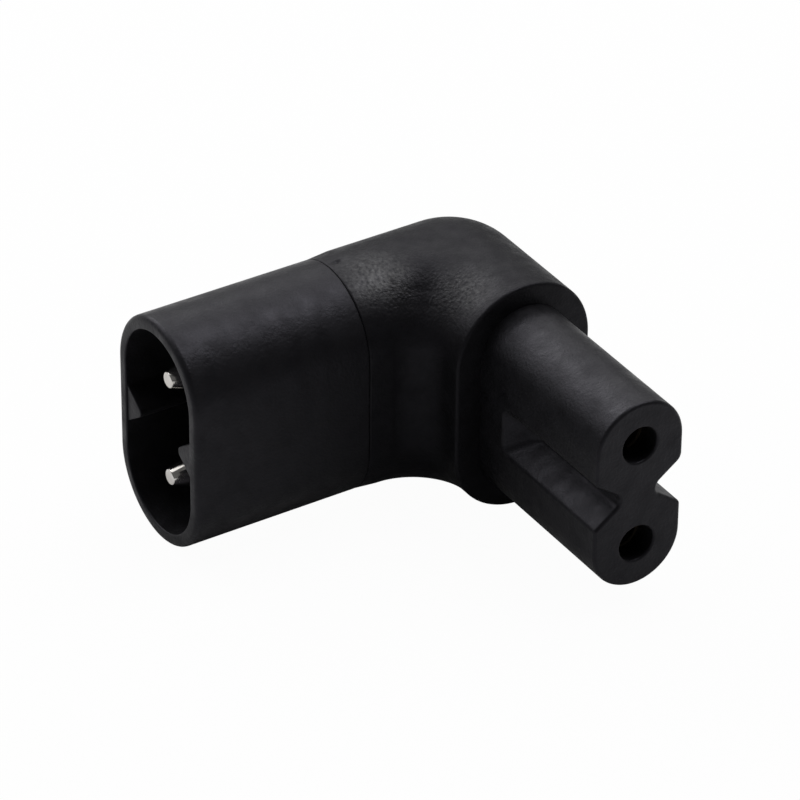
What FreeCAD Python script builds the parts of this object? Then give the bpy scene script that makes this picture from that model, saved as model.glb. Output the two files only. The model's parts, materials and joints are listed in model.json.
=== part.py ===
"""Right-angle adapter for the small two-pole appliance coupler.

A shrouded two-pin inlet and a figure-eight connector nose stand at a right angle, joined inside by two
wires, with an elbow moulded over both. Millimetres, +Z up. While the pieces are made, the inlet's axis
lies along X with its mouth towards -X, the nose's axis lies along Y with its face towards -Y, and the two
cross at the corner, at mid height. Every piece is then moved so that the origin lies under the middle of
the whole adapter's box, level with its lowest point.
"""
import FreeCAD, Part
import math
import os

Vector = FreeCAD.Vector

# The two poles, one above the other at both ends
pin_pitch = 8.6
pin_diameter = 2.4

# Inlet shroud: a stadium tube with a floor, moulded around the pins
shroud_width = 11.4
shroud_overhang = 5.15
shroud_wall = 1.05
recess_depth = 11.5
floor_thickness = 3.4
rim_bevel = 0.2
mouth_bevel = 0.12

# V ribs on the shroud's long inner walls, which enter the notches of a mating nose
rib_reach = 1.9
rib_angle = 70.0
rib_tip_radius = 0.5
rib_root_radius = 0.25
rib_setback = 0.15

# Pins: a tapered tip, and from the recess floor back a thicker root with a slot for the wire in its end
pin_tip_setback = 0.95
pin_tip_diameter = 1.25
pin_taper = 1.7
pin_root_diameter = 3.0
pin_tail = 2.2
slot_depth = 1.8

# Connector nose: two lobes with a V notch on each long side that runs out before the shoulder
nose_width = 7.55
nose_overhang = 3.575
nose_length = 15.3
nose_face_bevel = 0.2
notch_depth = 2.15
notch_angle = 72.0
notch_bottom_radius = 0.75
notch_edge_radius = 0.5
notch_stop = 3.1
notch_runout = 1.9
entry_clearance = 0.275
entry_depth = 2.0

# Contact sleeves inside the nose: rolled strip, split along one side, with a flat tail for the wire
contact_clearance = 0.02
sleeve_wall = 0.4
sleeve_length = 10.5
slit_width = 0.5
contact_play = 0.04
contact_tail = 1.2

# Link wires, pin to contact: flat wire that stands on edge
wire_thickness = 0.6
wire_height = 1.6
wire_bend_radius = 4.0

# Elbow: its inlet leg grows from the shroud's section to its own
elbow_width = 11.7
elbow_overhang = 5.3
bend_inner_radius = 3.0
ridge_bend_radius = 0.65
inlet_leg = 1.9
nose_leg = 1.05
shoulder_bevel = 0.2
seam_bevel = 0.12

# Keys behind both inserts: a neck and a wider flange that the elbow grips
neck_inset = 2.0
neck_length = 1.0
flange_cover = 1.3
flange_length = 1.2

# Points and planes closer than this are taken as the same
touch = 1e-4

# Sizes that follow from those above
pole_height = pin_pitch / 2
pin_radius = pin_diameter / 2
bore_radius = pin_radius + contact_clearance
shroud_height = pin_pitch + 2 * shroud_overhang
nose_height = pin_pitch + 2 * nose_overhang
elbow_height = pin_pitch + 2 * elbow_overhang
recess_width = shroud_width - 2 * shroud_wall
recess_height = shroud_height - 2 * shroud_wall
bend_start = elbow_width / 2 + bend_inner_radius

# Stations along the inlet's axis, all at negative X
seam_x = -(bend_start + inlet_leg)
floor_x = seam_x - floor_thickness
mouth_x = floor_x - recess_depth
inlet_flange_x = seam_x + neck_length
inlet_back_x = inlet_flange_x + flange_length
tail_x = inlet_back_x + pin_tail
slot_x = tail_x - slot_depth

# Stations along the nose's axis, all at negative Y
shoulder_y = -(bend_start + nose_leg)
nose_face_y = shoulder_y - nose_length
nose_flange_y = shoulder_y + neck_length
nose_back_y = nose_flange_y + flange_length
sleeve_front_y = nose_face_y + entry_depth
sleeve_back_y = sleeve_front_y + sleeve_length
contact_back_y = nose_back_y + contact_tail


def place(axis, along, across, up):
    """A point at a station on an axis, so far to its side and so far above it."""
    if axis == "x":
        return Vector(along, across, up)
    return Vector(across, along, up)


def outline(axis, along, corners):
    """Closed wire square to an axis; each corner is (across, up, radius of its rounding)."""
    points = [place(axis, along, across, up) for across, up, radius in corners]
    turns = []
    for i, (across, up, radius) in enumerate(corners):
        corner = points[i]
        back = (points[i - 1] - corner).normalize()
        ahead = (points[(i + 1) % len(points)] - corner).normalize()
        half_angle = back.getAngle(ahead) / 2
        reach = radius / math.tan(half_angle)
        depth = radius / math.sin(half_angle) - radius
        middle = corner + (back + ahead).normalize() * depth
        turns.append((corner + back * reach, middle, corner + ahead * reach))
    edges = []
    for i, (start, middle, end) in enumerate(turns):
        last_end = turns[i - 1][2]
        if last_end.distanceToPoint(start) > touch:
            edges.append(Part.LineSegment(last_end, start).toShape())
        if start.distanceToPoint(end) > touch:
            edges.append(Part.Arc(start, middle, end).toShape())
    return Part.Wire(edges)


def stadium(axis, along, width, height):
    """Upright oblong with fully rounded ends."""
    side = width / 2
    top = height / 2
    corners = [(side, top, side), (-side, top, side), (-side, -top, side), (side, -top, side)]
    return outline(axis, along, corners)


def figure_eight(axis, along, width, height, depth, angle, tip_radius, edge_radius):
    """A stadium with a V of the given depth and angle let into both long sides at mid height."""
    side = width / 2
    top = height / 2
    half_angle = math.radians(angle / 2)
    sharp_depth = depth + tip_radius * (1 / math.sin(half_angle) - 1)
    half_mouth = sharp_depth * math.tan(half_angle)
    tip = side - sharp_depth
    corners = [
        (side, top, side),
        (-side, top, side),
        (-side, half_mouth, edge_radius),
        (-tip, 0, tip_radius),
        (-side, -half_mouth, edge_radius),
        (-side, -top, side),
        (side, -top, side),
        (side, -half_mouth, edge_radius),
        (tip, 0, tip_radius),
        (side, half_mouth, edge_radius),
    ]
    return outline(axis, along, corners)


def run(wire, start, end, axis):
    """Solid made by moving an outline along its axis from one station to another."""
    return Part.Face(wire).extrude(place(axis, end - start, 0, 0))


def loft(first, last):
    return Part.makeLoft([first, last], True, True)


def edges_across(shape, axis, along):
    """Edges that lie wholly in the plane square to an axis at a station."""
    found = []
    for edge in shape.Edges:
        box = edge.BoundBox
        low, high = (box.XMin, box.XMax) if axis == "x" else (box.YMin, box.YMax)
        if abs(low - along) < touch and abs(high - along) < touch:
            found.append(edge)
    return found


def turned(axis, profile, up):
    """Solid of revolution about a pole's axis; the profile is a list of (station, radius)."""
    points = [place(axis, along, radius, up) for along, radius in profile]
    wire = Part.makePolygon(points + points[:1])
    return Part.Face(wire).revolve(place(axis, 0, 0, up), place(axis, 1, 0, 0), 360)


def inlet_pin(up):
    """Turned pin with a tapered tip and a thicker root; a slot is cut into the root from behind."""
    tip_x = mouth_x + pin_tip_setback
    root_radius = pin_root_diameter / 2
    profile = [
        (tip_x, 0),
        (tip_x, pin_tip_diameter / 2),
        (tip_x + pin_taper, pin_radius),
        (floor_x, pin_radius),
        (floor_x, root_radius),
        (tail_x, root_radius),
        (tail_x, 0),
    ]
    corner = Vector(slot_x, -wire_thickness / 2, up - root_radius)
    slot = Part.makeBox(slot_depth, wire_thickness, pin_root_diameter, corner)
    return turned("x", profile, up).cut(slot)


def shroud_body():
    """The inlet insert before its pins go in: tube, floor, ribs, and the key behind the seam."""
    tube = run(stadium("x", mouth_x, shroud_width, shroud_height), mouth_x, seam_x, "x")
    tube = tube.makeChamfer(rim_bevel, edges_across(tube, "x", mouth_x))
    tube = tube.makeChamfer(seam_bevel, edges_across(tube, "x", seam_x))
    ribbed = figure_eight(
        "x", mouth_x, recess_width, recess_height, rib_reach, rib_angle, rib_tip_radius, rib_root_radius
    )
    recess = run(ribbed, mouth_x, floor_x, "x")
    over_ribs = run(stadium("x", mouth_x, recess_width, recess_height), 0, rib_setback, "x")
    wide = stadium("x", mouth_x, recess_width + 2 * mouth_bevel, recess_height + 2 * mouth_bevel)
    narrow = stadium("x", mouth_x + mouth_bevel, recess_width, recess_height)
    hollow = tube.cut(recess).cut(over_ribs).cut(loft(wide, narrow))
    neck = stadium("x", seam_x, shroud_width - 2 * neck_inset, shroud_height - 2 * neck_inset)
    flange = stadium("x", inlet_flange_x, shroud_width - 2 * flange_cover, shroud_height - 2 * flange_cover)
    key = run(neck, seam_x, inlet_back_x, "x").fuse(run(flange, inlet_flange_x, inlet_back_x, "x"))
    return hollow.fuse(key).removeSplitter()


def contact_tail_box(up, front, back, thickness, play):
    """Upright plate behind a contact's sleeve, in line with its wall, with so much play all round it."""
    height = wire_height + 2 * play
    corner = Vector(bore_radius + sleeve_wall + play - thickness, front, up - height / 2)
    return Part.makeBox(thickness, back - front, height, corner)


def contact_sleeve(up):
    """Rolled contact: a sleeve that grips the pin, split along its length, and a flat tail behind it."""
    outer_radius = bore_radius + sleeve_wall
    profile = [
        (sleeve_front_y, bore_radius),
        (sleeve_front_y, outer_radius),
        (sleeve_back_y, outer_radius),
        (sleeve_back_y, bore_radius),
    ]
    towards_middle = -outer_radius if up > 0 else 0
    corner = Vector(-slit_width / 2, sleeve_front_y, up + towards_middle)
    slit = Part.makeBox(slit_width, sleeve_length, outer_radius, corner)
    tail = contact_tail_box(up, sleeve_back_y, contact_back_y, sleeve_wall, 0)
    return turned("y", profile, up).cut(slit).fuse(tail).removeSplitter()


def nose_body():
    """The nose before its holes are made: lobes, notch run-outs, and the key behind the shoulder."""
    section = figure_eight(
        "y", nose_face_y, nose_width, nose_height,
        notch_depth, notch_angle, notch_bottom_radius, notch_edge_radius,
    )
    lobes = run(section, nose_face_y, shoulder_y, "y")
    lobes = lobes.makeChamfer(nose_face_bevel, edges_across(lobes, "y", nose_face_y))
    side = nose_width / 2
    stop_y = shoulder_y - notch_stop
    runout_y = stop_y - notch_runout
    waist = side - notch_depth
    plan = [
        (side, shoulder_y),
        (side, stop_y),
        (waist, runout_y),
        (-waist, runout_y),
        (-side, stop_y),
        (-side, shoulder_y),
    ]
    points = [Vector(x, y, -nose_height / 2) for x, y in plan]
    wedge = Part.Face(Part.makePolygon(points + points[:1])).extrude(Vector(0, 0, nose_height))
    full = run(stadium("y", shoulder_y, nose_width, nose_height), shoulder_y, runout_y, "y")
    neck = run(stadium("y", shoulder_y, nose_width, nose_height), shoulder_y, nose_back_y, "y")
    rim = stadium("y", nose_flange_y, elbow_width - 2 * flange_cover, elbow_height - 2 * flange_cover)
    flange = run(rim, nose_flange_y, nose_back_y, "y")
    return lobes.fuse([full.common(wedge), neck, flange]).removeSplitter()


def nose_hole(up):
    """Entry hole in the nose's face, and behind it the space for a contact and the end of its wire."""
    entry_radius = pin_radius + entry_clearance
    sleeve_radius = bore_radius + sleeve_wall + contact_play
    profile = [
        (nose_face_y, 0),
        (nose_face_y, entry_radius),
        (sleeve_front_y, entry_radius),
        (sleeve_front_y, sleeve_radius),
        (sleeve_back_y, sleeve_radius),
        (sleeve_back_y, 0),
    ]
    thickness = sleeve_wall + wire_thickness + 2 * contact_play
    slot = contact_tail_box(up, sleeve_back_y, nose_back_y, thickness, contact_play)
    return turned("y", profile, up).fuse(slot)


def link_wire(up):
    """Flat wire from the floor of a pin's slot, round the corner, along a contact's tail to its sleeve."""
    half = wire_thickness / 2
    run_x = bore_radius - half
    bend_x = run_x - wire_bend_radius
    bend_y = -wire_bend_radius
    outside = quarter_arc(bend_x, bend_y, wire_bend_radius + half)
    inside = quarter_arc(bend_x, bend_y, wire_bend_radius - half)
    nose_end = [
        outside.EndPoint,
        Vector(run_x + half, sleeve_back_y, 0),
        Vector(run_x - half, sleeve_back_y, 0),
        inside.EndPoint,
    ]
    pin_end = [
        inside.StartPoint,
        Vector(slot_x, -half, 0),
        Vector(slot_x, half, 0),
        outside.StartPoint,
    ]
    runs = Part.makePolygon(nose_end).Edges + Part.makePolygon(pin_end).Edges
    plan = Part.Wire(Part.sortEdges(runs + [outside.toShape(), inside.toShape()])[0])
    plan.translate(Vector(0, 0, up - wire_height / 2))
    return Part.Face(plan).extrude(Vector(0, 0, wire_height))


def quarter_arc(centre_x, centre_y, radius):
    """Arc in plan, at mid height, from straight behind its centre to straight beside it on the +X side."""
    reach = radius * math.sqrt(0.5)
    start = Vector(centre_x, centre_y + radius, 0)
    middle = Vector(centre_x + reach, centre_y + reach, 0)
    return Part.Arc(start, middle, Vector(centre_x + radius, centre_y, 0))


def half_stadium(axis, along, side):
    """The elbow's section on one side of its middle; side is 1 outside the bend, -1 inside it."""
    across = side * elbow_width / 2
    top = elbow_height / 2
    radius = elbow_width / 2
    corners = [(0, -top, 0), (0, top, 0), (across, top, radius), (across, -top, radius)]
    return outline(axis, along, corners)


def quarter_turn(axis, along, side, radius):
    """Half of the elbow's section turned from one leg to the other about an upright axis."""
    half = Part.Face(half_stadium(axis, along, side))
    return half.revolve(Vector(-radius, -radius, 0), Vector(0, 0, 1), -90)


def elbow_body():
    """The elbow's outside. Its inner half turns about an axis out in the corner of the two legs and its
    outer half about one near the ridge, and between the two ridge arcs the crown is flat."""
    seam = stadium("x", seam_x, shroud_width, shroud_height)
    inlet_side = loft(seam, stadium("x", -bend_start, elbow_width, elbow_height))
    nose_side = run(stadium("y", -bend_start, elbow_width, elbow_height), -bend_start, shoulder_y, "y")
    inside = quarter_turn("x", -bend_start, -1, bend_start)
    outside = quarter_turn("x", -ridge_bend_radius, 1, ridge_bend_radius)
    outer_inlet = run(half_stadium("x", -bend_start, 1), -bend_start, -ridge_bend_radius, "x")
    outer_nose = run(half_stadium("y", -bend_start, 1), -bend_start, -ridge_bend_radius, "y")
    inner_ridge = quarter_arc(-bend_start, -bend_start, bend_start)
    outer_ridge = quarter_arc(-ridge_bend_radius, -ridge_bend_radius, ridge_bend_radius)
    crown = Part.Wire([
        inner_ridge.toShape(),
        Part.LineSegment(inner_ridge.EndPoint, outer_ridge.EndPoint).toShape(),
        outer_ridge.toShape(),
        Part.LineSegment(outer_ridge.StartPoint, inner_ridge.StartPoint).toShape(),
    ])
    crown.translate(Vector(0, 0, -elbow_height / 2))
    middle = Part.Face(crown).extrude(Vector(0, 0, elbow_height))
    elbow = inlet_side.fuse([nose_side, inside, outside, outer_inlet, outer_nose, middle]).removeSplitter()
    elbow = elbow.makeChamfer(shoulder_bevel, edges_across(elbow, "y", shoulder_y))
    return elbow.makeChamfer(seam_bevel, edges_across(elbow, "x", seam_x))


def build():
    """Every piece by name, in the frame of the corner."""
    poles = {"upper": pole_height, "lower": -pole_height}
    pins = {name: inlet_pin(up) for name, up in poles.items()}
    contacts = {name: contact_sleeve(up) for name, up in poles.items()}
    wires = {name: link_wire(up) for name, up in poles.items()}
    shroud = shroud_body().cut(list(pins.values()))
    nose = nose_body()
    inside = [shroud, nose] + list(pins.values()) + list(contacts.values()) + list(wires.values())
    pieces = {
        "inlet_shroud": shroud,
        "connector_nose": nose.cut([nose_hole(up) for up in poles.values()]),
        "elbow_overmould": elbow_body().cut(inside),
    }
    for name in poles:
        pieces["inlet_pin_" + name] = pins[name]
        pieces["contact_sleeve_" + name] = contacts[name]
        pieces["link_wire_" + name] = wires[name]
    return pieces


os.makedirs("parts", exist_ok=True)
half_width = elbow_width / 2
to_origin = Vector(-(mouth_x + half_width) / 2, -(nose_face_y + half_width) / 2, elbow_height / 2)
for node, shape in build().items():
    solid, = shape.Solids
    solid.translated(to_origin).exportStep("parts/" + node + ".step")
    print(node, "volume", round(solid.Volume, 2), "valid", solid.isValid())
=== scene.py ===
"""Looks of a right-angle mains adapter: a pin inlet and a connector nose with an elbow moulded over both.

Metres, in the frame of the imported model. The inlet's mouth faces -X, the nose's face -Y, and +Z is up.
"""
import bmesh
import bpy
import json
import math
import numpy as np
from mathutils import Matrix, Vector, noise


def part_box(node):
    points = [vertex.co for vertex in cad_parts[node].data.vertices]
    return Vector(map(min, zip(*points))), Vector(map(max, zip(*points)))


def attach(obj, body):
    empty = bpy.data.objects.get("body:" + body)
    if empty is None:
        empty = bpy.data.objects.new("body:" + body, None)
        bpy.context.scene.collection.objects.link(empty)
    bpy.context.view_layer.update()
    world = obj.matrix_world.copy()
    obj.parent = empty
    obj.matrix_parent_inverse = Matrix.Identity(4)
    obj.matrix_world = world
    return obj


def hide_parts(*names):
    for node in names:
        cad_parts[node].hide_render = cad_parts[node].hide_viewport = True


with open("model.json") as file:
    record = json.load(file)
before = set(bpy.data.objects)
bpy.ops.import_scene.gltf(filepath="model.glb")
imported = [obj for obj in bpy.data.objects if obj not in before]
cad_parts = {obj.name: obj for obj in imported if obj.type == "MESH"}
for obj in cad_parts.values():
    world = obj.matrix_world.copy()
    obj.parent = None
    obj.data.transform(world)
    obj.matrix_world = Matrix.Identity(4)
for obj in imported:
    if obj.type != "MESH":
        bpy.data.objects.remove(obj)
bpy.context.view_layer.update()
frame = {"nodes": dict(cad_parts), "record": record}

# Contact sleeves: half-hard brass strip, rolled into a tube that is split along one side to grip a pin.
# They are pushed into the nose from behind and lie loose in it, so only their front ends can be seen.
mm = 0.001
poles = ("upper", "lower")
# The brass is painted far darker than real brass: painted shade for the deep holes the sleeves lie in, with
# random tone between the two shades.
shaded_brass_dark = (0.10, 0.080, 0.058)
shaded_brass_light = (0.17, 0.136, 0.10)
noise_low = 0.3
noise_high = 0.7


def new_finish(name, constants):
    """A finish with one shader and these constant sockets; the functions below give it grain."""
    finish = bpy.data.materials.new(name)
    finish.use_nodes = True
    shader = finish.node_tree.nodes["Principled BSDF"]
    for socket, value in constants.items():
        shader.inputs[socket].default_value = value
    return finish


def grain(finish, size, drawn_out=(1, 1, 1)):
    """Noise fixed to the piece, with features of one size, longer along the axes that are drawn out."""
    tree = finish.node_tree
    place = tree.nodes.new("ShaderNodeTexCoord")
    scale = tree.nodes.new("ShaderNodeMapping")
    scale.inputs["Scale"].default_value = [1 / (size * longer) for longer in drawn_out]
    pattern = tree.nodes.new("ShaderNodeTexNoise")
    pattern.inputs["Scale"].default_value = 1
    pattern.inputs["Detail"].default_value = 3
    tree.links.new(place.outputs["Object"], scale.inputs["Vector"])
    tree.links.new(scale.outputs["Vector"], pattern.inputs["Vector"])
    return pattern.outputs["Fac"]


def spread(finish, pattern, low, high):
    """A pattern's usual range, stretched to lie between two values."""
    stretch = finish.node_tree.nodes.new("ShaderNodeMapRange")
    stretch.inputs["From Min"].default_value = noise_low
    stretch.inputs["From Max"].default_value = noise_high
    stretch.inputs["To Min"].default_value = low
    stretch.inputs["To Max"].default_value = high
    finish.node_tree.links.new(pattern, stretch.inputs["Value"])
    return stretch.outputs["Result"]


def tint(finish, pattern, dark, light):
    """Colour that drifts between two shades with a pattern."""
    tree = finish.node_tree
    shades = tree.nodes.new("ShaderNodeValToRGB")
    shades.color_ramp.elements[0].color = (*dark, 1)
    shades.color_ramp.elements[1].color = (*light, 1)
    tree.links.new(spread(finish, pattern, 0, 1), shades.inputs["Fac"])
    tree.links.new(shades.outputs["Color"], tree.nodes["Principled BSDF"].inputs["Base Color"])


def polish(finish, pattern, smooth, rough):
    """Roughness that follows a pattern."""
    tree = finish.node_tree
    roughness = tree.nodes["Principled BSDF"].inputs["Roughness"]
    tree.links.new(spread(finish, pattern, smooth, rough), roughness)


def relief(finish, pattern, depth):
    """Fine bumps of a depth, laid over any that the finish has already."""
    tree = finish.node_tree
    normal = tree.nodes["Principled BSDF"].inputs["Normal"]
    bump = tree.nodes.new("ShaderNodeBump")
    bump.inputs["Distance"].default_value = depth
    tree.links.new(pattern, bump.inputs["Height"])
    if normal.links:
        tree.links.new(normal.links[0].from_socket, bump.inputs["Normal"])
    tree.links.new(bump.outputs["Normal"], normal)


rolled_brass = new_finish("rolled_brass", {"Metallic": 1})
tint(rolled_brass, grain(rolled_brass, size=1.5 * mm), shaded_brass_dark, shaded_brass_light)
roll_marks = grain(rolled_brass, size=0.05 * mm, drawn_out=(1, 40, 1))
polish(rolled_brass, roll_marks, smooth=0.4, rough=0.55)
relief(rolled_brass, roll_marks, depth=0.002 * mm)
for pole in poles:
    frame["nodes"]["contact_sleeve_" + pole].material_slots[0].material = rolled_brass

# Link wires: flat soft copper wire on edge, one from the tail of each pin round to a contact's tail.
# They are soldered in the pins' slots and spot welded to the contacts, then buried in the elbow.
copper_dark = (0.58, 0.29, 0.16)
copper_light = (0.80, 0.46, 0.29)
drawn_copper = new_finish("drawn_copper", {"Metallic": 1})
tint(drawn_copper, grain(drawn_copper, size=1.2 * mm), copper_dark, copper_light)
draw_marks = grain(drawn_copper, size=0.06 * mm, drawn_out=(20, 20, 1))
polish(drawn_copper, draw_marks, smooth=0.25, rough=0.5)
relief(drawn_copper, draw_marks, depth=0.002 * mm)
for pole in poles:
    frame["nodes"]["link_wire_" + pole].material_slots[0].material = drawn_copper

# Inlet pins: turned from brass rod and nickel plated, with a tapered tip and a thicker root.
# Their sharp edges are broken in the lathe, which leaves fine rings around them, and a slot is sawn
# into the tail of each for its link wire.
mounts = {mount["name"]: mount for mount in frame["record"]["mounts"]}
pin_mount = mounts["pin_upper"]
pin_low, pin_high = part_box("inlet_pin_upper")
shroud_low, shroud_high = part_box("inlet_shroud")
inlet_middle = (shroud_low + shroud_high) / 2
floor_x = pin_mount["pos_m"][0] + pin_mount["dims"]["length_mm"] / 2 * mm
pin_radius = pin_mount["dims"]["r_mm"] * mm
root_radius = (pin_high.y - pin_low.y) / 2
tip_radius = 0.625 * mm
tip_taper = 1.7 * mm
taper_round = 0.8 * mm
broken_edge = 0.1 * mm
wire_slot_depth = 1.8 * mm
wire_slot_width = 0.6 * mm
tool_overrun = 1 * mm
round_steps = 5
turning_steps = 64
weld_gap = 0.001 * mm
crisp_angle = math.radians(38)
nickel_dark = (0.62, 0.59, 0.55)
nickel_light = (0.78, 0.76, 0.73)


def rounded(corners):
    """Points of a profile whose corners are (along, out, radius of the rounding)."""
    points = []
    for i, (along, out, radius) in enumerate(corners):
        corner = Vector((along, out))
        if not radius:
            points.append(corner)
            continue
        back = (Vector(corners[i - 1][:2]) - corner).normalized()
        ahead = (Vector(corners[i + 1][:2]) - corner).normalized()
        half_angle = back.angle(ahead) / 2
        middle = corner + (back + ahead).normalized() * radius / math.sin(half_angle)
        reach = radius / math.tan(half_angle)
        first = (corner + back * reach - middle).normalized()
        last = (corner + ahead * reach - middle).normalized()
        for step in range(round_steps + 1):
            points.append(middle + first.slerp(last, step / round_steps) * radius)
    return points


def on_inlet(x, ring):
    """A ring of (across, up) points set square to the inlet's axis."""
    return [(x, inlet_middle.y + across, inlet_middle.z + up) for across, up in ring]


def moulding(name, rows, finish):
    """A closed piece: a skin over rows of matched points, and a flat face over each end row."""
    bm = bmesh.new()
    loops = [[bm.verts.new(point) for point in row] for row in rows]
    for near, far in zip(loops, loops[1:]):
        for i in range(len(near)):
            bm.faces.new((near[i - 1], near[i], far[i], far[i - 1]))
    bm.faces.new(loops[0])
    bm.faces.new(loops[-1])
    bmesh.ops.remove_doubles(bm, verts=bm.verts, dist=weld_gap)
    bmesh.ops.recalc_face_normals(bm, faces=bm.faces)
    mesh = bpy.data.meshes.new(name)
    bm.to_mesh(mesh)
    bm.free()
    piece = bpy.data.objects.new(name, mesh)
    bpy.context.scene.collection.objects.link(piece)
    mesh.materials.append(finish)
    return piece


def turned(name, on_axis, up, profile, finish):
    """A piece turned so far above an axis, from a profile of (along, radius)."""
    turn = np.linspace(0, math.tau, turning_steps + 1)[:-1]
    circle = np.stack([np.cos(turn), np.sin(turn)], axis=1)
    rows = [on_axis(along, radius * circle + (0, up)) for along, radius in profile]
    return moulding(name, rows, finish)


def cut(piece, tool):
    """Takes the space of a tool out of a piece, and the tool away."""
    step = piece.modifiers.new("cut", "BOOLEAN")
    step.operation = "DIFFERENCE"
    step.solver = "EXACT"
    step.object = tool
    bpy.context.view_layer.update()
    cut_piece = piece.evaluated_get(bpy.context.evaluated_depsgraph_get())
    piece.data = bpy.data.meshes.new_from_object(cut_piece)
    piece.modifiers.remove(step)
    bpy.data.objects.remove(tool)


def finish_piece(piece, slot, *nodes):
    """Smooth shading with true flats and crisp corners, and the piece's place in the frame."""
    piece.data.shade_smooth()
    piece.data.set_sharp_from_angle(angle=crisp_angle)
    piece.modifiers.new("shading", "WEIGHTED_NORMAL").keep_sharp = True
    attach(piece, "root")
    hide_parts(*nodes)


nickel = new_finish("nickel_plate", {"Metallic": 1})
tint(nickel, grain(nickel, size=1.0 * mm), nickel_dark, nickel_light)
tool_rings = grain(nickel, size=0.08 * mm, drawn_out=(1, 60, 60))
polish(nickel, tool_rings, smooth=0.08, rough=0.16)
relief(nickel, tool_rings, depth=0.0008 * mm)
pin_profile = rounded([
    (pin_low.x, 0, 0),
    (pin_low.x, tip_radius, broken_edge),
    (pin_low.x + tip_taper, pin_radius, taper_round),
    (floor_x, pin_radius, 0),
    (floor_x, root_radius, 0),
    (pin_high.x, root_radius, broken_edge),
    (pin_high.x, 0, 0),
])
slot_side = wire_slot_width / 2
slot_ends = (pin_high.x - wire_slot_depth, pin_high.x + tool_overrun)
pins = {}
for pole in poles:
    pole_up = mounts["pin_" + pole]["pos_m"][2] - inlet_middle.z
    pin = turned("pin_" + pole, on_inlet, pole_up, pin_profile, nickel)
    pins[pole] = pin
    low = pole_up - root_radius - tool_overrun
    high = pole_up + root_radius + tool_overrun
    slot = [(-slot_side, low), (slot_side, low), (slot_side, high), (-slot_side, high)]
    cut(pin, moulding("slot_saw", [on_inlet(x, slot) for x in slot_ends], None))
    finish_piece(pin, "pin_plating", "inlet_pin_" + pole)

# Inlet shroud: injection moulded in hard satin black plastic, around the roots of the two pins.
# It is an oblong tube with a floor; a V rib on each long wall meets the notch of a mating nose,
# and the neck and flange behind the seam key it into the elbow.
shroud_width = shroud_high.y - shroud_low.y
shroud_height = shroud_high.z - shroud_low.z
shroud_wall = 1.05 * mm
mouth_x = shroud_low.x
inlet_back_x = shroud_high.x
flange_length = 1.2 * mm
neck_length = 1.0 * mm
inlet_flange_x = inlet_back_x - flange_length
seam_x = inlet_flange_x - neck_length
flange_cover = 1.3 * mm
neck_inset = 2.0 * mm
rim_round = 0.45 * mm
mouth_round = 0.12 * mm
seam_round = 0.14 * mm
recess_width = shroud_width - 2 * shroud_wall
recess_height = shroud_height - 2 * shroud_wall
rib_setback = 0.15 * mm
rib_end_round = 0.1 * mm
rib_vee = {"depth": 1.9 * mm, "angle": 70, "tip_radius": 0.5 * mm, "edge_radius": 0.25 * mm}
end_steps = 48
side_steps = 96
black_dark = (0.0060, 0.0059, 0.0066)
black_light = (0.0090, 0.0089, 0.0099)
plastic_sheen = (0.88, 0.855, 1, 1)


def side_heights(width, height):
    """Heights of the points along a straight side of an oblong."""
    return np.linspace(-1, 1, side_steps + 1)[1:-1] * (height - width) / 2


def oblong(width, height, drawn_in=0):
    """Points around an upright oblong with full round ends, as (across, up); its sides may be drawn in."""
    turn = np.linspace(0, math.pi, end_steps + 1)
    top = np.stack([np.cos(turn), np.sin(turn)], axis=1) * width / 2 + (0, (height - width) / 2)
    up = side_heights(width, height)
    right = np.stack([width / 2 - drawn_in + 0 * up, up], axis=1)
    return np.concatenate([top, right[::-1] * (-1, 1), -top, right])


def vee(up, depth, angle, tip_radius, edge_radius):
    """How far a rounded V, let in at mid height, draws a side in at these heights."""
    half = math.radians(angle / 2)
    sharp_depth = depth + tip_radius * (1 / math.sin(half) - 1)
    edge_up = (sharp_depth + edge_radius / math.sin(half) - edge_radius) * math.tan(half)
    up = np.abs(up)
    flank = sharp_depth - up / math.tan(half)
    tip = depth - tip_radius + np.sqrt(np.maximum(tip_radius ** 2 - up ** 2, 0))
    edge = edge_radius - np.sqrt(np.maximum(edge_radius ** 2 - (up - edge_up) ** 2, 0))
    drawn = np.where(up < tip_radius * math.cos(half), tip, flank)
    drawn = np.where(up > edge_up - edge_radius * math.cos(half), edge, drawn)
    return np.where(up > edge_up, 0, drawn)


def drill(piece, on_axis, up, profile):
    """Takes out of a piece what a profile of (along, radius) sweeps, turned so far above an axis."""
    cut(piece, turned("bit", on_axis, up, profile, None))


def satin_black(name):
    """Hard plastic from a lightly eroded mould: an even fine grain and a faint unevenness in its gloss."""
    finish = new_finish(name, {"Specular IOR Level": 0.23, "Specular Tint": plastic_sheen})
    tint(finish, grain(finish, size=2.5 * mm), black_dark, black_light)
    polish(finish, grain(finish, size=1.4 * mm), smooth=0.36, rough=0.55)
    relief(finish, grain(finish, size=0.7 * mm), depth=0.028 * mm)
    relief(finish, grain(finish, size=0.25 * mm), depth=0.026 * mm)
    return finish


key_corners = [
    (inlet_back_x, flange_cover, 0),
    (inlet_flange_x, flange_cover, 0),
    (inlet_flange_x, neck_inset, 0),
    (seam_x, neck_inset, 0),
    (seam_x, 0, seam_round),
]
shell = rounded(key_corners + [
    (mouth_x, 0, rim_round),
    (mouth_x, shroud_wall, mouth_round),
    (mouth_x + rib_setback, shroud_wall, 0),
])
shroud_rows = []
for x, depth in shell:
    shroud_rows.append(on_inlet(x, oblong(shroud_width - 2 * depth, shroud_height - 2 * depth)))
rib = vee(side_heights(recess_width, recess_height), **rib_vee)
for turn in np.linspace(0, math.pi / 2, round_steps + 1):
    x = mouth_x + rib_setback + rib_end_round * (1 - math.cos(turn))
    rib_end = np.maximum(rib - rib_end_round * (1 - math.sin(turn)), 0)
    shroud_rows.append(on_inlet(x, oblong(recess_width, recess_height, rib_end)))
shroud_rows.append(on_inlet(floor_x, oblong(recess_width, recess_height, rib)))
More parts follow.
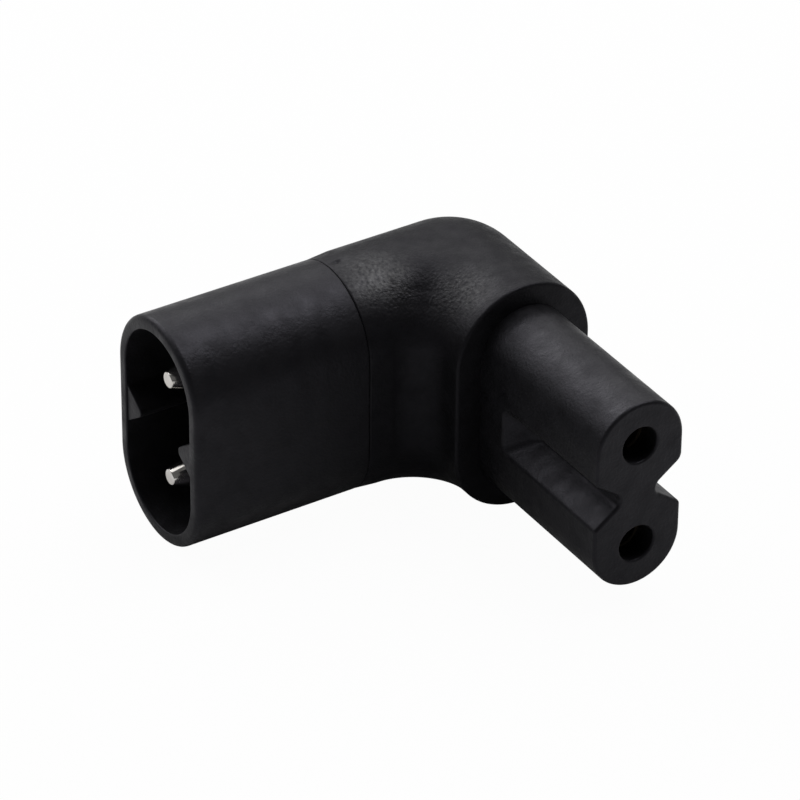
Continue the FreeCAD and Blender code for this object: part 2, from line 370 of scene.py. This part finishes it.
shroud = moulding("shroud", shroud_rows, satin_black("shroud_black"))
root_bore = [(floor_x - tool_overrun, root_radius), (inlet_back_x + tool_overrun, root_radius)]
for pole in poles:
    pole_up = mounts["pin_" + pole]["pos_m"][2] - inlet_middle.z
    drill(shroud, on_inlet, pole_up, root_bore)
finish_piece(shroud, "shroud_plastic", "inlet_shroud")

# Connector nose: injection moulded like the shroud, with two lobes and a notch on each long side.
# The notches run out in a ramp before the shoulder. The entry holes lead a pin into the contacts,
# which lie in wider bores, and a neck and flange behind the shoulder key the nose into the elbow.
nose_low, nose_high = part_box("connector_nose")
contact_mount = mounts["contact_upper"]
nose_middle = (nose_low + nose_high) / 2
nose_width = 7.55 * mm
nose_height = 15.75 * mm
nose_face_y = nose_low.y
nose_back_y = nose_high.y
nose_flange_y = nose_back_y - flange_length
nose_flange_width = nose_high.x - nose_low.x
nose_flange_height = nose_high.z - nose_low.z
shoulder_y = nose_flange_y - neck_length
face_round = 0.28 * mm
notch_vee = {"depth": 2.15 * mm, "angle": 72, "tip_radius": 0.75 * mm}
upper_lip = 0.9 * mm
lower_lip = 0.4 * mm
notch_end_gap = 3.1 * mm
notch_stop_y = shoulder_y - notch_end_gap
notch_runout = 1.9 * mm
runout_blend = 1.0 * mm
runout_round = 0.3 * mm
runout_margin = 0.4 * mm
runout_rows = 56
first_runout_y = notch_stop_y + runout_margin
last_runout_y = notch_stop_y - notch_runout - runout_blend
entry_radius = 1.475 * mm
entry_depth = 2.0 * mm
entry_lead = 0.18 * mm
contact_play = 0.04 * mm
sleeve_low, sleeve_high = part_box("contact_sleeve_upper")
bore_radius = (sleeve_high.x - sleeve_low.x) / 2 + contact_play
bore_back_y = contact_mount["pos_m"][1] + contact_mount["dims"]["length_mm"] / 2 * mm
tail_slot_width = 1.08 * mm
tail_slot_height = 1.68 * mm
tail_slot_overlap = 0.05 * mm


def on_nose(y, ring):
    """A ring of (across, up) points set square to the nose's axis."""
    return [(nose_middle.x + across, y, nose_middle.z + up) for across, up in ring]


def notched(y):
    """The nose's outline at a station, with its notches as deep as their run-out allows there."""
    up = side_heights(nose_width, nose_height)
    lip = np.where(up > 0, upper_lip, lower_lip)
    notch = vee(up, **notch_vee, edge_radius=lip)
    ramp = (notch_stop_y - y) / notch_runout * notch_vee["depth"]
    # The ramp starts in a gentle curve, and a soft corner blends it into the notch.
    if abs(ramp) < runout_round:
        ramp = (ramp + runout_round) ** 2 / (4 * runout_round)
    near = np.maximum(runout_blend - np.abs(notch - ramp), 0) / runout_blend
    depth = np.minimum(notch, ramp) - near ** 2 * runout_blend / 4
    return oblong(nose_width, nose_height, np.clip(depth, 0, notch))


def inset(ring, amount):
    """A ring moved inwards along its own normals."""
    along = np.roll(ring, -1, axis=0) - np.roll(ring, 1, axis=0)
    along /= np.linalg.norm(along, axis=1)[:, None]
    return ring + amount * np.stack([-along[:, 1], along[:, 0]], axis=1)


flange_ring = oblong(nose_flange_width, nose_flange_height)
neck_ring = oblong(nose_width, nose_height)
nose_rows = [
    on_nose(nose_back_y, flange_ring),
    on_nose(nose_flange_y, flange_ring),
    on_nose(nose_flange_y, neck_ring),
    on_nose(shoulder_y, neck_ring),
]
for y in np.linspace(first_runout_y, last_runout_y, runout_rows):
    nose_rows.append(on_nose(y, notched(y)))
for turn in np.linspace(0, math.pi / 2, round_steps + 1):
    y = nose_face_y + face_round * (1 - math.sin(turn))
    nose_rows.append(on_nose(y, inset(notched(nose_face_y), face_round * (1 - math.cos(turn)))))
nose = moulding("nose", nose_rows, satin_black("nose_black"))
# The lead-in is twice as wide as it is deep at the face, and its slope goes on in front of the face.
entry = rounded([
    (nose_face_y - entry_lead, 0, 0),
    (nose_face_y - entry_lead, entry_radius + 3 * entry_lead, 0),
    (nose_face_y + entry_lead / 2, entry_radius, entry_lead),
    (nose_face_y + entry_depth, entry_radius, 0),
    (nose_face_y + entry_depth, bore_radius, 0),
    (bore_back_y, bore_radius, 0),
    (bore_back_y, 0, 0),
])
slot_left = bore_radius - tail_slot_width
slot_ends = (bore_back_y - tail_slot_overlap, nose_back_y + tool_overrun)
for pole in poles:
    pole_up = mounts["contact_" + pole]["pos_m"][2] - nose_middle.z
    drill(nose, on_nose, pole_up, entry)
    low = pole_up - tail_slot_height / 2
    high = pole_up + tail_slot_height / 2
    slot = [(slot_left, low), (bore_radius, low), (bore_radius, high), (slot_left, high)]
    cut(nose, moulding("slot_tool", [on_nose(y, slot) for y in slot_ends], None))
finish_piece(nose, "nose_plastic", "connector_nose")

# Elbow: softer black plastic, moulded over the backs of both inserts, the pins' tails and the wires.
# Its inner half sweeps round a wide bend and its outer half turns a tight one, with a flat crown between.
# It shrinks as it cools, into a groove and fine folds at the inner corner and a small sink by the seam.
elbow_low, elbow_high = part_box("elbow_overmould")
elbow_width = 2 * (elbow_high.y - inlet_middle.y)
elbow_height = elbow_high.z - elbow_low.z
bend_inner_radius = 3.0 * mm
ridge_bend_radius = 0.65 * mm
bend_start = elbow_width / 2 + bend_inner_radius
inner_axis = Vector((nose_middle.x - bend_start, inlet_middle.y - bend_start))
outer_axis = Vector((nose_middle.x - ridge_bend_radius, inlet_middle.y - ridge_bend_radius))
shoulder_round = 0.25 * mm
leg_steps = 20
bend_steps = 170
tight_share = 0.36
outer_steps = {"over": 80, "down": 24, "under": 36}
inner_steps = {"over": 120, "down": 60, "under": 36}
crown_steps = 24
underside_steps = 8
fold_depth = 0.022 * mm
fold_turn = math.radians(36)
fold_tilt = math.radians(45)
fold_sets = ((14, 1.0), (26, 0.8))
fold_mean = 0.3
fold_length = 0.5 * mm
fold_waver = 0.15
waver_size = 0.8 * mm
fold_start = 0.4 * mm
fold_rise = 1.0 * mm
fold_end = 4.4 * mm
fold_fade = 2.4 * mm
groove_depth = 0.36 * mm
groove_width = 1.3 * mm
groove_turn = math.radians(37)
groove_top_fade = 0.2
groove_foot = 0.15
groove_foot_fade = 0.5
sink_depth = 0.2 * mm
sink_length = 0.36 * mm
sink_width = 0.17 * mm
sink_place = Vector((seam_x + 0.88 * mm, inlet_middle.y + 0.4 * mm))
wrinkle_reach = 6 * mm
left_gleam_reach = 4.2 * mm
right_gleam_reach = 3.6 * mm
elbow_dark = (0.0054, 0.0053, 0.0060)
elbow_light = (0.0084, 0.0083, 0.0093)


def clamped(share):
    """A share kept between none and all."""
    return min(max(share, 0), 1)


def half_ring(width, height, over, down, under):
    """One half of an oblong: so many steps over its top, down its +across side and under its bottom."""
    reach = (height - width) / 2
    turn = np.concatenate([
        np.linspace(0, math.pi / 2, over + 1),
        np.full(down - 1, math.pi / 2),
        np.linspace(math.pi / 2, math.pi, under + 1),
    ])
    middle = np.concatenate([
        np.full(over + 1, reach),
        np.linspace(reach, -reach, down + 1)[1:-1],
        np.full(under + 1, -reach),
    ])
    return np.stack([np.sin(turn) * width / 2, middle + np.cos(turn) * width / 2], axis=1)


def split_ring(width, height):
    """An oblong in two halves, the outer one from bottom to top and the inner one from top to bottom."""
    outer = half_ring(width, height, **outer_steps)
    inner = half_ring(width, height, **inner_steps)
    return outer[::-1], inner * (-1, 1)


def joined(outer, inner):
    """One closed ring from both halves, with strips of points between them over the crown and below."""
    share = np.linspace(0, 1, crown_steps + 1)[1:-1, None]
    crown = outer[-1] * (1 - share) + inner[0] * share
    share = np.linspace(0, 1, underside_steps + 1)[1:-1, None]
    below = inner[-1] * (1 - share) + outer[0] * share
    return np.concatenate([outer, crown, inner, below])


def inlet_leg(x, width, height):
    """A row of the elbow square to the inlet's axis."""
    return on_inlet(x, joined(*split_ring(width, height)))


def nose_leg(y, width, height):
    """A row of the elbow square to the nose's axis."""
    return on_nose(y, joined(*split_ring(width, height)))


def bend_row(share):
    """A row of the elbow part of the way round the bend, each half turned about its own axis."""
    outer, inner = split_ring(elbow_width, elbow_height)
    turn = share * math.pi / 2
    reach = bend_start + inner[:, 0]
    inner_points = np.stack([
        inner_axis.x + reach * math.sin(turn),
        inner_axis.y + reach * math.cos(turn),
        inlet_middle.z + inner[:, 1],
    ], axis=1)
    before = (1 - tight_share) / 2
    tight_turn = clamped((share - before) / tight_share) * math.pi / 2
    to_corner = max(1 - share / before, 0) * (outer_axis.x - inner_axis.x)
    past_corner = max((share - 1 + before) / before, 0) * (outer_axis.y - inner_axis.y)
    reach = ridge_bend_radius + outer[:, 0]
    outer_points = np.stack([
        outer_axis.x - to_corner + reach * math.sin(tight_turn),
        outer_axis.y - past_corner + reach * math.cos(tight_turn),
        inlet_middle.z + outer[:, 1],
    ], axis=1)
    return joined(outer_points, inner_points)


def on_bend(turn, tilt):
    """A place on the elbow's inner half, by its angle round the bend and its slope down from the crown."""
    reach = bend_start - elbow_width / 2 * math.sin(tilt)
    up = elbow_high.z - elbow_width / 2 * (1 - math.cos(tilt))
    return Vector((inner_axis.x + reach * math.sin(turn), inner_axis.y + reach * math.cos(turn), up))


def fold_height(place):
    """Wavy folds that fan out above the inner corner, two sets of (how many around, how high)."""
    turn_out = Vector((math.sin(fold_turn), math.cos(fold_turn), 0))
    along = Vector((turn_out.y, -turn_out.x, 0))
    down = -turn_out * math.cos(fold_tilt) - Vector((0, 0, math.sin(fold_tilt)))
    away = place - fold_middle
    reach = math.hypot(away.dot(along), away.dot(down))
    angle = math.atan2(away.dot(down), away.dot(along)) + fold_waver * noise.noise(place / waver_size)
    height = -fold_mean
    for count, size in fold_sets:
        spoke = Vector((count * math.cos(angle), count * math.sin(angle), reach / fold_length))
        height += size * abs(noise.noise(spoke))
    return height * clamped((reach - fold_start) / fold_rise) * clamped((fold_end - reach) / fold_fade)


def groove_share(place, out):
    """How deep the groove is at a place in the bend's valley; it fades towards the crown and the foot."""
    from_axis = place.to_2d() - inner_axis
    if from_axis.length > bend_start:
        return 0
    aside = from_axis.length * (math.atan2(from_axis.x, from_axis.y) - groove_turn)
    fade = clamped((1 - out.z) / groove_top_fade) * clamped((out.z - groove_foot) / groove_foot_fade)
    return math.exp(-(aside / groove_width) ** 2) * fade


def sink_share(place):
    """How deep the sink mark is at a place."""
    along = (place.x - sink_place.x) / sink_length
    across = (place.y - sink_place.y) / sink_width
    return math.exp(-(along ** 2 + across ** 2))


def skin_height(place, out):
    """How far the skin stands out at a place that faces one way; the folds and the sink are on top only."""
    on_top = max(out.z, 0)
    marks = fold_depth * fold_height(place) - sink_depth * sink_share(place)
    return on_top * marks - groove_depth * groove_share(place, out)


def fading(finish, pattern, middle, reach):
    """A pattern that is full at a place on the piece and gone at a distance from it."""
    tree = finish.node_tree
    place = tree.nodes.new("ShaderNodeTexCoord")
    distance = tree.nodes.new("ShaderNodeVectorMath")
    distance.operation = "DISTANCE"
    distance.inputs[1].default_value = middle
    share = tree.nodes.new("ShaderNodeMapRange")
    share.interpolation_type = "SMOOTHSTEP"
    share.inputs["From Min"].default_value = reach
    share.inputs["From Max"].default_value = 0
    faded = tree.nodes.new("ShaderNodeMath")
    faded.operation = "MULTIPLY"
    tree.links.new(place.outputs["Object"], distance.inputs[0])
    tree.links.new(distance.outputs["Value"], share.inputs["Value"])
    tree.links.new(pattern, faded.inputs[0])
    tree.links.new(share.outputs["Result"], faded.inputs[1])
    return faded.outputs["Value"]


def gleam(finish, pattern, middle, reach):
    """A patch of thin glossy skin that follows a pattern, added to any that the finish has already."""
    tree = finish.node_tree
    weight = tree.nodes["Principled BSDF"].inputs["Coat Weight"]
    total = tree.nodes.new("ShaderNodeMath")
    total.operation = "ADD"
    total.inputs[1].default_value = 0
    tree.links.new(fading(finish, pattern, middle, reach), total.inputs[0])
    if weight.links:
        tree.links.new(weight.links[0].from_socket, total.inputs[1])
    tree.links.new(total.outputs["Value"], weight)


def solid_copy(piece):
    """A copy of a piece with its faces joined at their edges, to cut with."""
    bm = bmesh.new()
    bm.from_mesh(piece.data)
    bmesh.ops.remove_doubles(bm, verts=bm.verts, dist=weld_gap)
    mesh = bpy.data.meshes.new("copy")
    bm.to_mesh(mesh)
    bm.free()
    copy = bpy.data.objects.new("copy", mesh)
    bpy.context.scene.collection.objects.link(copy)
    return copy


fold_middle = on_bend(fold_turn, fold_tilt)
left_gleam = on_bend(turn=math.radians(5), tilt=math.radians(24))
right_gleam = on_bend(turn=math.radians(70), tilt=math.radians(34))
leather_black = new_finish("elbow_black", {
    "Specular IOR Level": 0.155,
    "Specular Tint": plastic_sheen,
    "Coat Roughness": 0.42,
})
tint(leather_black, grain(leather_black, size=2.0 * mm), elbow_dark, elbow_light)
polish(leather_black, grain(leather_black, size=1.1 * mm), smooth=0.38, rough=0.58)
speckle = grain(leather_black, size=0.28 * mm)
left_speckle = spread(leather_black, speckle, low=0.15, high=0.95)
right_speckle = spread(leather_black, speckle, low=0.1, high=0.65)
gleam(leather_black, left_speckle, left_gleam, left_gleam_reach)
gleam(leather_black, right_speckle, right_gleam, right_gleam_reach)
relief(leather_black, grain(leather_black, size=0.6 * mm), depth=0.02 * mm)
relief(leather_black, grain(leather_black, size=0.2 * mm), depth=0.024 * mm)
wrinkles = fading(leather_black, grain(leather_black, size=0.22 * mm), fold_middle, wrinkle_reach)
relief(leather_black, wrinkles, depth=0.07 * mm)
elbow_shader = leather_black.node_tree.nodes["Principled BSDF"]
elbow_bumps = elbow_shader.inputs["Normal"].links[0].from_socket
leather_black.node_tree.links.new(elbow_bumps, elbow_shader.inputs["Coat Normal"])

seam_profile = rounded(key_corners + [(inner_axis.x, 0, 0)])
elbow_rows = []
for x, depth in seam_profile[:-1]:
    elbow_rows.append(inlet_leg(x, shroud_width - 2 * depth, shroud_height - 2 * depth))
leg_start = seam_profile[-2][0]
for share in np.linspace(0, 1, leg_steps + 1)[1:]:
    grown = share * (elbow_width - shroud_width)
    x = leg_start + share * (inner_axis.x - leg_start)
    elbow_rows.append(inlet_leg(x, shroud_width + grown, shroud_height + grown))
for step in range(1, bend_steps):
    elbow_rows.append(bend_row(step / bend_steps))
shoulder_profile = rounded([
    (inner_axis.y, 0, 0),
    (shoulder_y, 0, shoulder_round),
    (shoulder_y, (elbow_width - nose_width) / 2, 0),
])
for y, depth in shoulder_profile[:-1]:
    elbow_rows.append(nose_leg(y, elbow_width - 2 * depth, elbow_height - 2 * depth))
for y in (shoulder_y, nose_flange_y):
    elbow_rows.append(nose_leg(y, nose_width, nose_height))
for y in (nose_flange_y, nose_back_y):
    elbow_rows.append(nose_leg(y, nose_flange_width, nose_flange_height))
elbow = moulding("elbow", elbow_rows, leather_black)
skin = elbow.data.vertices
rises = [vertex.normal * skin_height(vertex.co, vertex.normal) for vertex in skin]
for vertex, rise in zip(skin, rises):
    vertex.co += rise
for pole in poles:
    contact_sleeve = frame["nodes"]["contact_sleeve_" + pole]
    link_wire = frame["nodes"]["link_wire_" + pole]
    for insert in (pins[pole], contact_sleeve, link_wire):
        cut(elbow, solid_copy(insert))
finish_piece(elbow, "elbow_plastic", "elbow_overmould")

# Studio: a white sheet under the adapter in a white room, with five soft boxes around it.
# Three of them stand low behind it, a strong one high on its right and a weak one high at its back.
# The sheet and the room are white to the camera and dim in reflections, and keep a faint shadow.
ambient = 0.05
dim_room = 0.12
white = (1, 1, 1, 1)
paper_grey = (0.7, 0.7, 0.7, 1)
camera_glow = 0.97
mirror_glow = 0.03
sheet_size = 4
lamp_size = 0.3
lamp_distance = 0.5


def seen(tree, camera, mirrored, otherwise):
    """One value for rays from the camera, one for mirrored rays and rays through glass, one for others."""
    path = tree.nodes.new("ShaderNodeLightPath")
    values = {"Is Transmission Ray": mirrored, "Is Glossy Ray": mirrored, "Is Camera Ray": camera}
    result = None
    for kind, value in values.items():
        choice = tree.nodes.new("ShaderNodeMix")
        choice.inputs["A"].default_value = otherwise
        choice.inputs["B"].default_value = value
        tree.links.new(path.outputs[kind], choice.inputs["Factor"])
        if result is not None:
            tree.links.new(result, choice.inputs["A"])
        result = choice.outputs["Result"]
    return result


def soft_box(name, power, bearing, height):
    """A square lamp that faces the adapter, so many degrees round from +X and above the sheet."""
    lamp = bpy.data.lights.new(name, "AREA")
    lamp.size = lamp_size
    lamp.energy = power
    turn = math.radians(bearing)
    rise = math.radians(height)
    towards = Vector((math.cos(turn) * math.cos(rise), math.sin(turn) * math.cos(rise), math.sin(rise)))
    stand = bpy.data.objects.new(name, lamp)
    stand.location = lamp_distance * towards
    stand.rotation_euler = towards.to_track_quat("Z", "Y").to_euler()
    bpy.context.scene.collection.objects.link(stand)


sheet_white = bpy.data.materials.new("sheet_white")
sheet_white.use_nodes = True
tree = sheet_white.node_tree
tree.nodes.clear()
paper = tree.nodes.new("ShaderNodeBsdfDiffuse")
paper.inputs["Color"].default_value = paper_grey
glow = tree.nodes.new("ShaderNodeEmission")
glow.inputs["Color"].default_value = white
mix = tree.nodes.new("ShaderNodeMixShader")
surface = tree.nodes.new("ShaderNodeOutputMaterial")
sheet_glow = seen(tree, camera=camera_glow, mirrored=mirror_glow, otherwise=0)
tree.links.new(sheet_glow, mix.inputs["Fac"])
tree.links.new(paper.outputs["BSDF"], mix.inputs[1])
tree.links.new(glow.outputs["Emission"], mix.inputs[2])
tree.links.new(mix.outputs["Shader"], surface.inputs["Surface"])
bpy.ops.mesh.primitive_plane_add(size=sheet_size)
sheet = bpy.context.object
sheet.name = "sheet"
sheet.data.materials.append(sheet_white)

world = bpy.data.worlds.new("studio")
bpy.context.scene.world = world
world.use_nodes = True
room = world.node_tree.nodes["Background"]
room.inputs["Color"].default_value = white
room_glow = seen(world.node_tree, camera=1, mirrored=dim_room, otherwise=ambient)
world.node_tree.links.new(room_glow, room.inputs["Strength"])

soft_box("back", power=1.18, bearing=90, height=38)
soft_box("back_left", power=0.47, bearing=135, height=38)
soft_box("back_right", power=0.43, bearing=45, height=38)
soft_box("right", power=1.27, bearing=0, height=65)
soft_box("top_left", power=0.33, bearing=120, height=65)

# Camera: a long lens from the left front, above the adapter, as in the photograph.
# Its place and its aim follow from the photograph and the known distance between the poles.
look_at = Vector((2.296, 4.820, 8.998)) * mm
camera_distance = 393 * mm
azimuth = math.radians(-32.484)
elevation = math.radians(33.465)
roll = math.radians(0.54)
sensor_width = 36
focal_length = 237.3
nearest_seen = 10 * mm
camera = bpy.data.objects.new("camera", bpy.data.cameras.new("camera"))
camera.data.sensor_width = sensor_width
camera.data.lens = focal_length
camera.data.clip_start = nearest_seen
camera.location = look_at + camera_distance * Vector((
    math.sin(azimuth) * math.cos(elevation),
    -math.cos(azimuth) * math.cos(elevation),
    math.sin(elevation),
))
level = Matrix.Rotation(azimuth, 4, "Z") @ Matrix.Rotation(math.pi / 2 - elevation, 4, "X")
camera.rotation_euler = (level @ Matrix.Rotation(roll, 4, "Z")).to_euler()
bpy.context.scene.collection.objects.link(camera)
bpy.context.scene.camera = camera
bpy.context.scene.view_settings.view_transform = "Standard"
